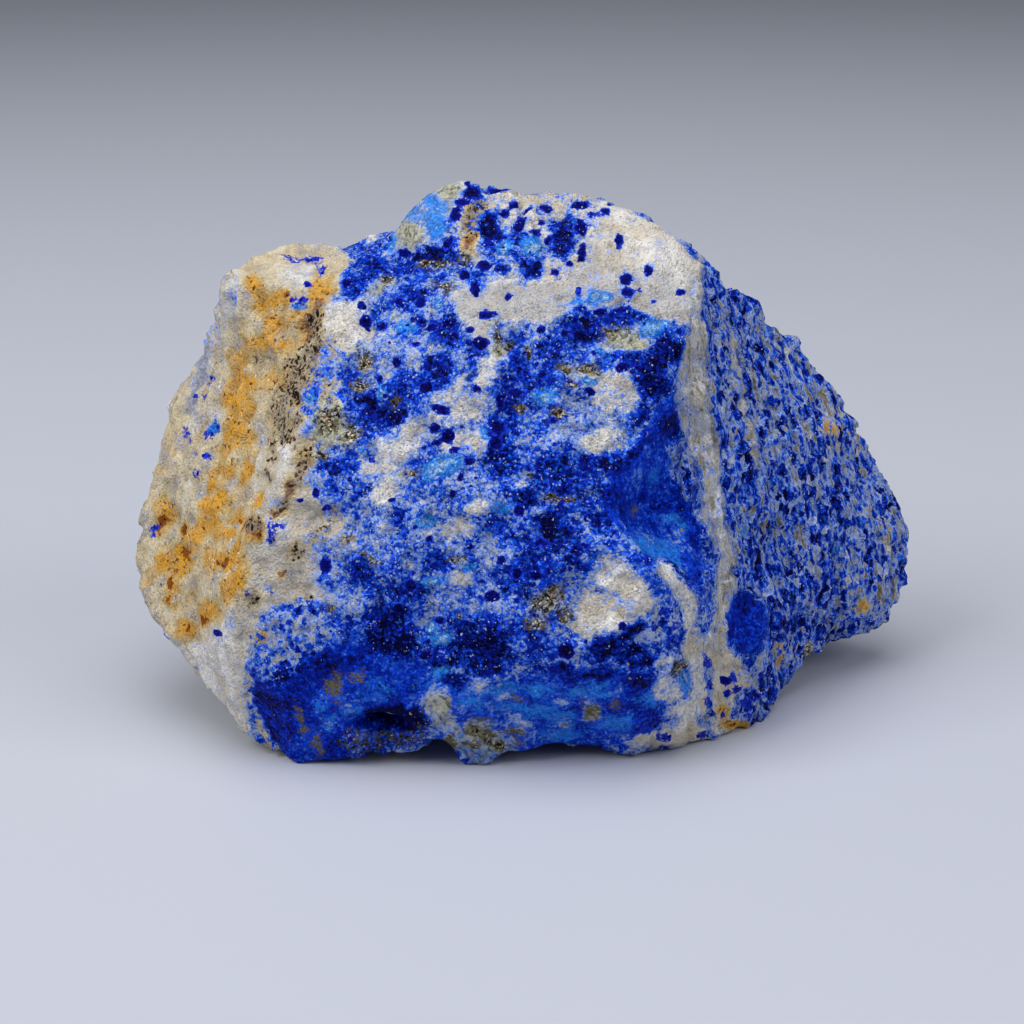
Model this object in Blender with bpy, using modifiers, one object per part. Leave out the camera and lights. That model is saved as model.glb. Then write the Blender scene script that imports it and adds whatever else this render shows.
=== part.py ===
"""A raw lump of lapis lazuli, one broken piece of rock at its real size. Metres, +Z up.

The broad broken face looks along -Y, the iron-stained rind is at -X, and the flank of thin
upright layers is at +X. The stone rests on a few worn spots of its underside, at z = 0.
"""

import bmesh
import bpy
from mathutils import Vector, noise

# Driving dimensions.
WIDTH = 0.118  # along X, rind to layered flank
FORM_WIDTH = 118.4  # the width, in millimetres, at which the places below were taken
MM = WIDTH / FORM_WIDTH  # metres for one millimetre of those places

# The middle of the lump. Every place on the surface can be seen from here.
HEART = Vector((0.0, 2.0, 34.0))

# Corners of the broken faces, in millimetres from the middle of the footprint: x, y, z.
SKYLINE = [
    (-43.0, 6.0, 64.0), (-38.5, 10.0, 65.5), (-32.5, 13.0, 66.5), (-27.0, 12.0, 66.0),
    (-22.5, 7.0, 66.5), (-18.5, 3.0, 70.5), (-15.0, 2.0, 74.0), (-12.5, 2.0, 76.5),
    (-8.0, 3.0, 77.5), (-5.5, 3.0, 76.0), (-2.0, 4.0, 76.5), (3.5, 6.0, 75.5),
    (8.0, 7.0, 74.5), (12.0, 6.0, 75.0), (17.5, 4.0, 72.8), (21.5, 0.5, 70.2),
    (25.0, -2.5, 66.4), (29.0, 2.0, 62.2), (34.0, 7.0, 59.6), (36.0, 9.0, 55.5),
    (42.0, 14.0, 51.8), (43.0, 13.0, 49.0), (48.5, 18.0, 42.0), (53.0, 20.0, 37.0),
    (56.5, 21.0, 29.5), (59.5, 20.0, 23.0), (61.0, 18.0, 17.5), (60.0, 17.0, 11.0),
    (57.0, 14.0, 7.0),
]
LOBE_LIP = [(-41.5, 2.0, 62.5), (-36.5, 1.0, 64.0), (-30.0, 1.0, 65.0)]
RIND_EDGE = [
    (-57.5, 2.0, 20.5), (-56.5, 4.0, 26.0), (-54.0, 6.0, 34.5), (-50.5, 7.0, 41.5),
    (-47.0, 8.0, 49.0), (-45.0, 7.0, 58.5),
]
RIND_FACE = [
    (-38.5, -1.5, 58.0), (-32.5, -7.5, 54.5), (-40.0, -3.0, 50.0), (-45.0, -1.5, 40.5),
    (-37.5, -10.5, 41.5), (-48.0, -4.5, 31.0), (-41.0, -14.5, 31.5), (-51.0, -4.5, 21.5),
    (-44.0, -15.0, 22.5),
]
RIND_RIDGE = [
    (-24.5, -2.0, 66.5), (-26.0, -9.0, 61.5), (-28.0, -14.0, 54.5), (-30.0, -19.0, 47.5),
    (-33.0, -22.0, 40.5), (-36.5, -23.0, 32.0), (-38.5, -24.0, 24.5), (-40.0, -24.0, 18.5),
]
LOWER_LEFT = [
    (-36.5, -22.0, 1.0), (-40.0, -19.0, 3.0), (-45.5, -14.0, 7.0), (-52.0, -8.0, 12.5),
    (-55.0, -4.0, 15.5),
]
BROAD_FACE = [
    (-16.5, -10.0, 63.5), (-5.5, -13.0, 64.0), (5.0, -12.0, 65.0), (16.5, -9.0, 64.5),
    (-18.0, -19.0, 51.5), (-7.0, -22.0, 52.5), (4.0, -20.0, 53.0), (16.0, -17.0, 55.0),
    (-20.5, -23.0, 41.5), (-9.5, -26.0, 42.5), (2.5, -25.0, 43.5), (-24.5, -24.0, 32.5),
    (-13.5, -28.0, 32.0), (-3.0, -29.0, 32.0), (-30.0, -27.0, 20.0), (-19.0, -29.0, 20.5),
    (-8.5, -30.0, 21.0), (2.5, -31.0, 22.5), (-32.0, -26.5, 10.5), (-19.5, -28.0, 13.0),
    (-8.5, -29.0, 12.0), (2.5, -29.0, 12.0), (13.5, -28.5, 11.5), (22.0, -24.0, 9.5),
]
KNUCKLE = [
    (11.0, -28.5, 33.3), (16.0, -29.5, 32.3), (20.5, -28.0, 29.3), (24.0, -25.0, 26.0),
    (25.8, -22.5, 18.0), (16.0, -32.0, 25.0), (10.5, -32.0, 20.5), (19.0, -30.0, 18.0),
]
HOLLOW_RIM = [(23.0, -12.5, 59.0), (21.5, -16.0, 52.5), (16.5, -20.5, 45.0), (10.8, -25.5, 38.5)]
HOLLOW = [
    (23.6, -11.5, 52.0), (22.0, -13.0, 45.5), (18.5, -16.2, 38.5), (14.0, -21.5, 34.8),
    (18.0, -18.5, 32.6), (23.0, -15.8, 31.0),
]
VEIN_RIDGE = [
    (25.0, -4.5, 64.0), (25.5, -9.0, 57.5), (26.0, -12.0, 49.5), (26.5, -14.0, 41.5),
    (27.0, -15.5, 33.0), (28.0, -16.5, 24.5), (29.5, -17.0, 15.5), (32.0, -13.5, 5.0),
]
LAYERED_FLANK = [
    (33.0, 0.5, 53.0), (34.0, -3.5, 44.0), (35.0, -6.5, 33.0), (35.0, -8.5, 21.5),
    (33.5, -12.0, 13.5), (44.0, 6.5, 41.5), (45.0, 2.5, 30.0), (44.5, 0.5, 18.5),
    (53.5, 11.5, 24.0), (53.5, 9.5, 15.0),
]
FLANK_FOOT = [
    (54.0, 12.0, 6.0), (48.0, 9.0, 5.5), (43.5, 5.0, 5.0), (40.5, 1.0, 2.5), (37.0, -5.0, 0.5),
    (34.5, -10.0, 0.0), (29.0, -14.0, 0.5), (26.0, -17.0, -0.6),
]
FRONT_FOOT = [
    (22.5, -19.0, -0.6), (17.0, -21.0, 1.0), (11.0, -22.0, 2.5), (5.5, -23.0, 2.8),
    (-1.5, -24.0, 2.2), (-7.0, -24.0, 0.2), (-10.5, -24.0, 2.2), (-12.5, -23.0, 3.8),
    (-17.0, -24.0, 3.0), (-24.0, -24.5, 1.4), (-32.0, -24.5, -0.4),
]
BACK_SHOULDER = [
    (-40.0, 17.0, 59.0), (-29.0, 21.0, 61.0), (-16.0, 17.0, 68.0), (-5.0, 15.0, 71.5),
    (6.0, 17.0, 70.5), (16.0, 16.0, 66.5), (26.0, 14.0, 60.5), (36.0, 19.0, 50.5),
]
BACK_UPPER = [
    (-51.0, 15.0, 44.0), (-38.0, 26.5, 47.0), (-22.0, 30.0, 55.0), (-7.0, 28.5, 61.0),
    (8.0, 24.5, 60.0), (22.0, 23.0, 53.5), (38.0, 24.5, 43.5),
]
BACK_LEDGE = [
    (-5.0, 31.0, 51.5), (11.0, 27.0, 48.5), (26.0, 25.5, 44.5), (40.5, 28.5, 37.0),
    (-6.0, 35.5, 47.0), (11.0, 34.0, 44.0), (26.0, 32.0, 40.0),
]
BACK_LOWER = [
    (-54.5, 13.0, 27.0), (-45.0, 25.0, 30.0), (-30.0, 34.0, 35.5), (-15.0, 35.5, 40.0),
    (8.0, 36.0, 30.0), (24.0, 34.0, 26.5), (40.0, 33.5, 24.5), (53.0, 27.5, 26.5),
    (-49.0, 16.0, 11.0), (-38.0, 28.0, 12.5), (-21.0, 32.0, 18.0), (-3.0, 36.0, 17.5),
    (14.0, 34.5, 14.0), (30.0, 31.0, 11.5), (43.0, 29.5, 9.0), (51.5, 24.0, 9.0),
]
UNDERSIDE = [
    (-27.0, -17.0, -0.9), (-37.0, -13.0, 1.5), (19.0, -11.0, -0.8), (29.0, -7.0, 0.8),
    (-19.0, 19.0, -0.8), (-8.0, 25.0, -0.8), (23.0, 19.0, -0.8), (14.0, 26.0, -0.4),
    (0.0, 0.0, 2.0), (-14.0, 4.0, 1.5), (31.0, 8.0, 2.0), (-37.0, 7.0, 4.5),
    (41.0, 15.0, 4.5), (-2.0, -16.0, 3.2), (4.0, 13.0, 1.5), (-30.0, 20.0, 4.0),
    (34.0, 22.0, 3.5),
]

# Relief larger than a few millimetres. Sizes and heights are in millimetres.
SUBDIVISIONS = 4  # each corner-to-corner face becomes 4 ** SUBDIVISIONS small ones
EDGE_WEAR = 5  # rounds of smoothing that take the knife edge off every corner
SKIN = 0.5  # how far the finished surface stands outside the corners
LUMP_SIZE, LUMP_HEIGHT = 15.0, 1.2  # broad swells of the broken faces
CHIP_SIZE, CHIP_HEIGHT = 6.0, 0.75  # hackly chips on top of them
CHIP_LEVEL = 0.4  # the mean of a chip's rise, taken off so that the lump keeps its size
LAYER_PITCH, LAYER_HEIGHT = 5.2, 0.6  # upright ribs of the layered flank
LAYER_LEAN, LAYER_TURN = 0.16, 0.9  # how far a rib shifts along X as it goes down or back
LAYER_SWAY, SWAY_SIZE = 1.6, 9.0  # how far and how often it wanders off its line
STEEP_SHARE = 0.2  # the steep side's part of a rib, and the rest is its gentle side
LAYER_START, LAYER_FULL = 25.0, 32.0  # the x where the ribs begin and where they are whole
LAYER_BACK_START, LAYER_BACK_END = 0.2, 0.7  # how far a face turns to +Y as they die out
CHIPS_LOST_ON_LAYERS, CHIPS_LOST_ON_SMOOTH = 0.6, 0.8
REACH_FULL, REACH_END = 0.45, 1.25  # shares of a single form's reach: all of it, none of it

# Single lumps, hollows and smooth spots: place, and reach along x, y and z, in millimetres.
# The last number is how far a lump stands up, or below 0 how deep a hollow is sunk.
SINGLE_FORMS = [
    ((-19.5, -28.0, 7.4), (4.2, 8.0, 1.7), -4.2),  # overhung slot at the foot of the blue face
    ((-11.5, -24.0, 2.0), (2.2, 8.0, 2.6), -1.6),  # notch beside the tooth of the front foot
    ((-22.5, -27.0, 29.0), (6.5, 9.0, 7.5), 1.1),  # bulge below the pale skin's edge
    ((-28.5, -23.0, 36.0), (4.5, 8.0, 2.2), -0.9),  # crease along that edge
    ((33.5, -10.0, 15.0), (3.6, 7.0, 6.0), 1.6),  # rounded lump on the foot of the flank
    ((-3.0, -24.0, 47.0), (9.0, 9.0, 5.5), -1.0),  # shallow dish across the broad face
]
SMOOTH_SPOTS = [
    ((20.5, -15.0, 42.0), (6.5, 9.0, 13.0)),  # the hollow's clean break
    ((-27.0, -26.0, 9.0), (17.0, 10.0, 11.0)),  # clean blue face over the left foot
    ((13.0, -29.0, 10.0), (13.0, 8.0, 6.0)),  # band under the knuckle
]

TRIANGLES = 8600  # what the finished solid is thinned to, before its feet are cut flat


def clear_scene():
    for obj in list(bpy.data.objects):
        bpy.data.objects.remove(obj)


def new_collection(name):
    made = bpy.data.collections.new(name)
    bpy.context.scene.collection.children.link(made)
    return made


def all_corners():
    groups = (
        SKYLINE, LOBE_LIP, RIND_EDGE, RIND_FACE, RIND_RIDGE, LOWER_LEFT, BROAD_FACE, KNUCKLE,
        HOLLOW_RIM, HOLLOW, VEIN_RIDGE, LAYERED_FLANK, FLANK_FOOT, FRONT_FOOT, BACK_SHOULDER,
        BACK_UPPER, BACK_LEDGE, BACK_LOWER, UNDERSIDE,
    )
    return [Vector(corner) for group in groups for corner in group]


def broken_faces():
    """The corners joined by flat faces: neighbours are found on a ball around the heart."""
    corners = all_corners()
    bm = bmesh.new()
    place = {}
    for corner in corners:
        vert = bm.verts.new((corner - HEART).normalized())
        place[vert] = corner
    made = bmesh.ops.convex_hull(bm, input=bm.verts)
    unused = [g for g in made["geom_interior"] if isinstance(g, bmesh.types.BMVert)]
    bmesh.ops.delete(bm, geom=unused, context="VERTS")
    for vert in bm.verts:
        vert.co = place[vert]
    bmesh.ops.recalc_face_normals(bm, faces=bm.faces)
    mesh = bpy.data.meshes.new("broken_faces")
    bm.to_mesh(mesh)
    bm.free()
    return mesh


def worn_faces(mesh):
    """The flat faces divided finely, with their edges slightly worn. Returns a new mesh."""
    obj = bpy.data.objects.new("worn_faces", mesh)
    bpy.context.scene.collection.objects.link(obj)
    divide = obj.modifiers.new("divide", "SUBSURF")
    divide.subdivision_type = "SIMPLE"
    divide.levels = divide.render_levels = SUBDIVISIONS
    wear = obj.modifiers.new("wear", "SMOOTH")
    wear.factor = 0.5
    wear.iterations = EDGE_WEAR
    graph = bpy.context.evaluated_depsgraph_get()
    fine = bpy.data.meshes.new_from_object(obj.evaluated_get(graph))
    bpy.data.objects.remove(obj)
    return fine


def ramp(value, start, full):
    """0 up to start and 1 from full on, with a smooth rise between them."""
    share = max(0.0, min(1.0, (value - start) / (full - start)))
    return share * share * (3.0 - 2.0 * share)


def chip(place):
    """Hackly chips: high in the middle of each cell and low along the cracks between cells."""
    distances, _ = noise.voronoi(place / CHIP_SIZE)
    return min(1.0, distances[1] - distances[0]) - CHIP_LEVEL


def rib(place):
    """Upright ribs of the layered flank, from -0.5 in a groove to 0.5 on a crest."""
    sway = LAYER_SWAY * noise.noise(place / SWAY_SIZE)
    across = place.x + LAYER_LEAN * place.z + LAYER_TURN * place.y + sway
    share = across / LAYER_PITCH % 1.0
    return min(share / (1.0 - STEEP_SHARE), (1.0 - share) / STEEP_SHARE) - 0.5


def nearness(place, centre, reach):
    """1 in the middle of a place's reach, and 0 outside it."""
    away = Vector([(p - c) / r for p, c, r in zip(place, centre, reach)]).length
    return 1.0 - ramp(away, REACH_FULL, REACH_END)


def relief(place, normal):
    """How far, in millimetres, the finished surface stands out from the worn faces."""
    swell = LUMP_HEIGHT * noise.fractal(place / LUMP_SIZE, 1.0, 2.0, 3)
    single = sum(height * nearness(place, *where) for *where, height in SINGLE_FORMS)
    facing = 1.0 - ramp(normal.y, LAYER_BACK_START, LAYER_BACK_END)
    layered = facing * ramp(place.x, LAYER_START, LAYER_FULL)
    smooth = max(nearness(place, *where) for where in SMOOTH_SPOTS)
    rough = (1.0 - CHIPS_LOST_ON_LAYERS * layered) * (1.0 - CHIPS_LOST_ON_SMOOTH * smooth)
    chips = rough * CHIP_HEIGHT * chip(place)
    return SKIN + swell + single + chips + layered * LAYER_HEIGHT * rib(place)


def carve(mesh):
    """Raises and sinks the worn faces along their own normals."""
    moved = [
        vert.co + relief(vert.co, vert.normal) * vert.normal for vert in mesh.vertices
    ]
    for vert, place in zip(mesh.vertices, moved):
        vert.co = place * MM


def ground_cutter(collection):
    """Everything under z = 0, where the stone has worn flat against what it lies on."""
    bpy.ops.mesh.primitive_cube_add(size=1.0, location=(0.0, 0.0, -0.5))
    cutter = bpy.context.object
    cutter.name = "ground"
    for owner in list(cutter.users_collection):
        owner.objects.unlink(cutter)
    collection.objects.link(cutter)
    cutter.hide_render = True
    cutter.display_type = "WIRE"
    return cutter


def lapis_material():
    material = bpy.data.materials.new("lapis_lazuli")
    material.use_nodes = True
    shader = material.node_tree.nodes["Principled BSDF"]
    shader.inputs["Base Color"].default_value = (0.06, 0.11, 0.42, 1.0)
    shader.inputs["Roughness"].default_value = 0.6
    return material


def lapis_lump(collection, ground):
    mesh = worn_faces(broken_faces())
    carve(mesh)
    mesh.name = "lapis_lump"
    mesh.materials.clear()
    mesh.materials.append(lapis_material())
    stone = bpy.data.objects.new("lapis_lump", mesh)
    collection.objects.link(stone)
    thin = stone.modifiers.new("thin", "DECIMATE")
    thin.ratio = TRIANGLES / (2.0 * len(mesh.polygons))
    feet = stone.modifiers.new("feet", "BOOLEAN")
    feet.operation = "DIFFERENCE"
    feet.object = ground
    return stone


def centre_on_footprint(stone):
    """Puts the origin at the middle of the footprint."""
    bpy.context.view_layer.update()
    graph = bpy.context.evaluated_depsgraph_get()
    corners = [Vector(c) for c in stone.evaluated_get(graph).bound_box]
    middle = (corners[0] + corners[6]) / 2.0
    for vert in stone.data.vertices:
        vert.co.x -= middle.x
        vert.co.y -= middle.y
    stone.data.update()


def main():
    clear_scene()
    parts = new_collection("Lapis lazuli lump")
    cutters = new_collection("Cutters")
    stone = lapis_lump(parts, ground_cutter(cutters))
    centre_on_footprint(stone)


main()
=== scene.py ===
"""The finish of a raw lump of lapis lazuli: its fine broken surface, its minerals and its stains.

The lump is one piece of metamorphosed limestone. White calcite, blue lazurite and a little
grey-green diopside grew together in it, in layers that now stand upright along +X.
"""

import math

import bmesh
import bpy
import numpy as np
from mathutils import Matrix, Vector, noise


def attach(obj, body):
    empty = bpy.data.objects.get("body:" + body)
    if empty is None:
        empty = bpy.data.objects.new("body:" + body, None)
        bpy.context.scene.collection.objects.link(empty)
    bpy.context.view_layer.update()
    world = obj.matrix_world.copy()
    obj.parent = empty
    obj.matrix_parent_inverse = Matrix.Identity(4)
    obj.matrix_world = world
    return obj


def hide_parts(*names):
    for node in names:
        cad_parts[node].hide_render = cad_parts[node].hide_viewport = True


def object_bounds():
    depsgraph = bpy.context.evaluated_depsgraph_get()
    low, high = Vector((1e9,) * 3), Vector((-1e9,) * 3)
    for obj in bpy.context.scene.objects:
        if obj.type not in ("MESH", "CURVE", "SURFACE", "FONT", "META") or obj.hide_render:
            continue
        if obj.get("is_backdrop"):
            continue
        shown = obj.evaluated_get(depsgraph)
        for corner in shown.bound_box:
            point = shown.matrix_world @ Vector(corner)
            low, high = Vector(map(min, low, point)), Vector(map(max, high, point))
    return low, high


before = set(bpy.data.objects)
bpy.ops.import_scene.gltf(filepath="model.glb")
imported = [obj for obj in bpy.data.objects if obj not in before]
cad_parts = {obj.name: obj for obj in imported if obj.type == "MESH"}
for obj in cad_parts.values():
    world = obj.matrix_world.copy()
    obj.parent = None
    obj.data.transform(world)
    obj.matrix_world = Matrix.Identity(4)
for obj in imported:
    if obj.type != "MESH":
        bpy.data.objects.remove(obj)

cad_low, cad_high = (list(corner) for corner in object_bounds())

# The lump itself. It was split from its seam with a hammer, so it is bounded by rough broken
# faces, and only its feet are worn flat. The CAD solid gives every ledge and hollow; here its
# facets are turned into one even, fine skin that can take the grain of the rock.
MM = 0.001
SKIN_STEP = 0.62 * MM  # spacing of the fine skin's points
SKIN_SMOOTHING = 5  # rounds that melt the solid's flat facets together

stone = bpy.data.objects.new("lapis_stone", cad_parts["lapis_lump"].data.copy())
bpy.context.scene.collection.objects.link(stone)
welded = bmesh.new()
welded.from_mesh(stone.data)
bmesh.ops.remove_doubles(welded, verts=welded.verts, dist=0.001 * MM)
welded.to_mesh(stone.data)
welded.free()
divide = stone.modifiers.new("divide", "REMESH")
divide.mode = "VOXEL"
divide.voxel_size = SKIN_STEP
melt = stone.modifiers.new("melt", "SMOOTH")
melt.factor = 0.5
melt.iterations = SKIN_SMOOTHING


def finished(piece):
    """The piece's mesh as its modifiers leave it, with the modifiers taken off."""
    graph = bpy.context.evaluated_depsgraph_get()
    made = bpy.data.meshes.new_from_object(piece.evaluated_get(graph))
    piece.modifiers.clear()
    piece.data = made


def at_points(what):
    """The place or the normal of each point of the stone's skin, one row for each."""
    values = np.empty(len(stone.data.vertices) * 3)
    stone.data.vertices.foreach_get(what, values)
    return values.reshape(-1, 3)


finished(stone)
places, facing = at_points("co"), at_points("normal")

# Where the marks lie. The markings of the lump were read from its photograph, in pixels of a
# 1024 x 1024 frame, so each point of the skin is given the pixel at which the camera sees it.
CAMERA_PLACE = np.array((-2.83, -308.2, 130.0)) * MM
CAMERA_PITCH = math.radians(18.2)  # below the horizon
FRAME = 1024  # pixels
FOCUS = 2199.0  # focal length in pixels

outward = places - CAMERA_PLACE
ahead = outward[:, 1] * math.cos(CAMERA_PITCH) - outward[:, 2] * math.sin(CAMERA_PITCH)
upward = outward[:, 1] * math.sin(CAMERA_PITCH) + outward[:, 2] * math.cos(CAMERA_PITCH)
across = FRAME / 2 + FOCUS * outward[:, 0] / ahead
down = FRAME / 2 - FOCUS * upward / ahead


def ramp(value, start, full):
    """0 up to start and 1 from full on, with a smooth rise between them."""
    part = np.clip((value - start) / (full - start), 0.0, 1.0)
    return part * part * (3.0 - 2.0 * part)


def cloud(size, octaves=2, seed=0.0):
    """Soft noise over the lump, about -1 to 1, with lumps of the given size in millimetres."""
    shift = Vector((seed, 2.0 * seed, -seed))
    scaled = places / (size * MM)
    return np.array([noise.fractal(Vector(p) + shift, 1.0, 2.0, octaves) for p in scaled])


# The marks' edges are ragged: each point looks up its mark a few pixels away. Crystals are less
# ragged than patches.
RAGGED = ((5.0, 2.6, 3), (3.0, 1.1, 2))  # pixels, size of the noise in mm, octaves
CRYSTAL_WANDER = 0.35
sideways, lengthways = (
    sum(reach * cloud(size, octaves, seed) for (reach, size, octaves), seed in zip(RAGGED, seeds))
    for seeds in ((11.0, 17.0), (23.0, 29.0))
)
crystal_across = across + CRYSTAL_WANDER * sideways
crystal_down = down + CRYSTAL_WANDER * lengthways
across, down = across + sideways, down + lengthways
turned = -(facing * outward).sum(axis=1) / np.linalg.norm(outward, axis=1)
SEEN_FROM, SEEN_FULLY = -0.30, -0.05  # cosines of the angle to the camera
seen = ramp(turned, SEEN_FROM, SEEN_FULLY)  # 1 on the side that was photographed, 0 behind it


def ovals(marks, right_of, below):
    """For each oval mark, its lesser half width and how far each point lies from its middle, 1 at
    its edge. A mark is its middle, half length, half width and the turn of its length in degrees
    clockwise. One that isn't turned leaves that out, and a round one has its radius alone."""
    for x, y, length, *rest in marks:
        width, turn = (*rest, *(length, 0.0)[len(rest):])
        along = math.cos(math.radians(turn)), math.sin(math.radians(turn))
        right, low = right_of - x, below - y
        yield min(length, width), np.hypot(
            (right * along[0] + low * along[1]) / length,
            (low * along[0] - right * along[1]) / width,
        )


def spots(marks, soft=0.35):
    """A mask of oval marks, with edges that are soft over a share of their width."""
    mask = np.zeros(len(places))
    for _, far in ovals(marks, across, down):
        mask = np.maximum(mask, 1.0 - ramp(far, 1.0 - soft, 1.0 + soft))
    return mask


def off_line(x0, y0, x1, y1):
    """Each point's distance from a line between two pixels, and its share of the way along."""
    run = (x1 - x0) ** 2 + (y1 - y0) ** 2
    part = np.clip(((across - x0) * (x1 - x0) + (down - y0) * (y1 - y0)) / run, 0.0, 1.0)
    return np.hypot(across - x0 - part * (x1 - x0), down - y0 - part * (y1 - y0)), part


def ribbon(points, soft=0.35):
    """A mask of a band through the given points: middle and half width at each."""
    far = np.full(len(places), 9.0)
    for (x0, y0, w0), (x1, y1, w1) in zip(points, points[1:]):
        away, part = off_line(x0, y0, x1, y1)
        far = np.minimum(far, away / (w0 + part * (w1 - w0)))
    return 1.0 - ramp(far, 1.0 - soft, 1.0 + soft)


def region(corners, soft=4.0):
    """A mask of the area inside the given corners, with an edge that many pixels wide."""
    inside = np.zeros(len(places), bool)
    away = np.full(len(places), 999.0)
    for (x0, y0), (x1, y1) in zip(corners, corners[1:] + corners[:1]):
        crosses = (y0 > down) != (y1 > down)
        turn_at = x0 + (down - y0) * (x1 - x0) / (y1 - y0 if y1 != y0 else 1.0)
        inside ^= crosses & (across < turn_at)
        away = np.minimum(away, off_line(x0, y0, x1, y1)[0])
    return ramp(np.where(inside, away, -away), -soft, soft)


# The layers. The minerals lie in upright layers, so on the sides that the photograph doesn't show
# each point takes the share of its layer: stained rind, mottled body, pale vein, speckled rock.
SHARES = (
    "lazurite", "azure", "diopside", "stain", "rust", "pepper", "clean", "layered", "speckled",
    "grey", "crystal",
)
LAYER_LEAN, LAYER_TURN = 0.16, 0.9  # how far a layer shifts along X as it goes down or back
RIND_EDGE, VEIN_EDGE, FLANK_EDGE = -32.0, 9.0, 13.0  # mm across the layers
THIN_VEINS = ((31.0, 0.4), (43.0, 1.0), (58.0, 0.3), (71.0, 0.8))  # middle and half width, mm
share = {name: np.zeros(len(places)) for name in SHARES}


def lay(mask, kind=(), **more):
    """Gives each point inside the mask the shares of a kind of rock, and those that are named."""
    for name, value in {**dict(kind), **more}.items():
        share[name] += mask * (value - share[name])


NOTHING = dict.fromkeys(SHARES[:-1], 0.0)
CALCITE = {**NOTHING, "lazurite": 0.03}
HAZY = {**NOTHING, "lazurite": 0.47}
MOTTLED = {**NOTHING, "lazurite": 0.58}
BLUE = {**NOTHING, "lazurite": 0.76}
CLUSTERED = {**NOTHING, "lazurite": 0.86, "speckled": 0.6}
SPECKLED = {**NOTHING, "lazurite": 0.6, "grey": 0.35, "layered": 1.0, "speckled": 1.0}
VEIN = {**NOTHING, "lazurite": 0.08, "grey": 0.12, "layered": 0.7}
RIND = {**NOTHING, "stain": 0.2, "pepper": 0.26, "clean": 0.2}

broad, patchy, mottle = cloud(14.0, 3, 31.0), cloud(7.0, 3, 47.0), cloud(3.2, 2, 59.0)
layer = places[:, 0] + LAYER_LEAN * places[:, 2] + LAYER_TURN * places[:, 1]
layer = layer / MM + 5.0 * broad + 1.5 * mottle
lay(1.0, MOTTLED)
lay(ramp(patchy, 0.05, 0.55), CALCITE)
lay(ramp(patchy + 0.5 * mottle, 0.1, -0.35), BLUE)
lay(ramp(layer, VEIN_EDGE, VEIN_EDGE + 2.0), VEIN)
lay(ramp(layer, FLANK_EDGE, FLANK_EDGE + 3.0), SPECKLED)
for middle, half in THIN_VEINS:
    lay(0.8 - 0.8 * ramp(abs(layer - middle), half, half + 2.4), VEIN)
lay(ramp(layer + 10.0 * patchy + 5.0 * mottle, RIND_EDGE, RIND_EDGE - 6.0), RIND)
stained = ramp(patchy + 0.8 * broad + 0.4 * facing[:, 2], 0.45, 1.0) * ramp(facing[:, 1], 0.1, 0.5)
lay(0.8 * stained, RIND)
behind = {name: values.copy() for name, values in share.items()}

# The broad broken face. Sugary blue lazurite mottled with white calcite: the calcite gathers in
# patches, and the blue in chains of dark crystals and in pale, powdery areas.
lay(1.0, MOTTLED)
lay(0.5 * ramp(mottle, 0.1, 0.5), CALCITE)
lay(0.5 * ramp(mottle, -0.1, -0.5), BLUE)
POWDERY = [
    (410, 495, 26, 20), (445, 515, 36, 22, 10), (500, 550, 40, 30, 30), (400, 560, 28, 16),
    (545, 440, 40, 22), (590, 430, 30, 18), (480, 470, 26, 18), (425, 350, 24, 14),
    (395, 300, 26, 14), (440, 600, 26, 16, 20), (500, 600, 20, 14), (480, 585, 30, 12),
    (365, 545, 20, 14), (385, 350, 16, 12), (530, 320, 26, 12), (615, 425, 20, 12),
    (600, 535, 18, 12, 40), (345, 605, 24, 10), (385, 600, 16, 8),
]
WHITE_PATCHES = [
    (452, 385, 14, 26), (470, 405, 26, 16), (486, 372, 12, 14), (462, 445, 20, 10, -10),
    (478, 440, 8, 18), (400, 438, 24, 16, -40), (378, 466, 20, 14, -20), (352, 335, 18, 14),
    (615, 392, 22, 16, 30), (626, 398, 14), (600, 445, 20, 10), (345, 318, 18, 14),
    (458, 530, 16, 8), (475, 508, 12, 8), (385, 490, 22, 10, -30), (610, 570, 16, 14),
    (625, 585, 26, 18, 40), (612, 610, 30, 20, 20), (645, 605, 14), (590, 632, 22, 10),
    (462, 578, 12, 6), (545, 515, 12, 6, 20), (515, 440, 8, 6), (660, 578, 8, 20, -50),
    (590, 375, 8, 5), (497, 350, 10), (438, 350, 8, 4), (430, 305, 6, 5),
]
BLUE_AREAS = [
    (370, 268, 34, 12, -8), (415, 272, 26, 10), (378, 252, 18, 8, -25), (360, 282, 10, 12),
    (418, 300, 14, 10), (335, 372, 8, 26, 20), (350, 350, 18, 7, -25), (345, 385, 12, 14),
    (385, 420, 18), (372, 442, 14), (410, 385, 24, 16), (345, 508, 12, 14), (358, 468, 8),
    (364, 486, 7, 6), (475, 360, 13, 14), (530, 372, 30, 24), (560, 465, 36, 20),
    (500, 462, 20, 14), (470, 640, 44, 24), (590, 330, 16, 20), (630, 318, 34, 9, 8),
    (655, 350, 26, 22, 30), (670, 400, 12, 30), (560, 350, 30, 12), (575, 485, 20, 14),
    (590, 510, 14, 12), (400, 585, 30, 12, 10), (350, 575, 18, 12, 30), (540, 560, 30, 18),
    (520, 590, 24, 14), (440, 565, 20, 10, -20), (500, 525, 16, 12), (530, 640, 20, 16),
    (645, 640, 24, 14, 10), (325, 615, 26, 12, 30), (450, 660, 60, 16), (500, 245, 22, 20),
    (530, 250, 18, 20), (560, 235, 16, 26), (582, 240, 8, 24), (420, 385, 14, 12),
    (505, 395, 14, 10), (305, 625, 20, 18), (668, 625, 18, 20, 20),
]
WHITE_TOP = [
    (452, 292), (500, 284), (560, 282), (590, 262), (600, 192), (660, 225), (702, 262), (716, 300),
    (712, 335), (680, 322), (655, 318), (628, 302), (600, 312), (575, 308), (545, 322), (500, 320),
    (486, 345), (458, 330),
]
lay(spots(POWDERY, 0.8), HAZY)
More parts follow.
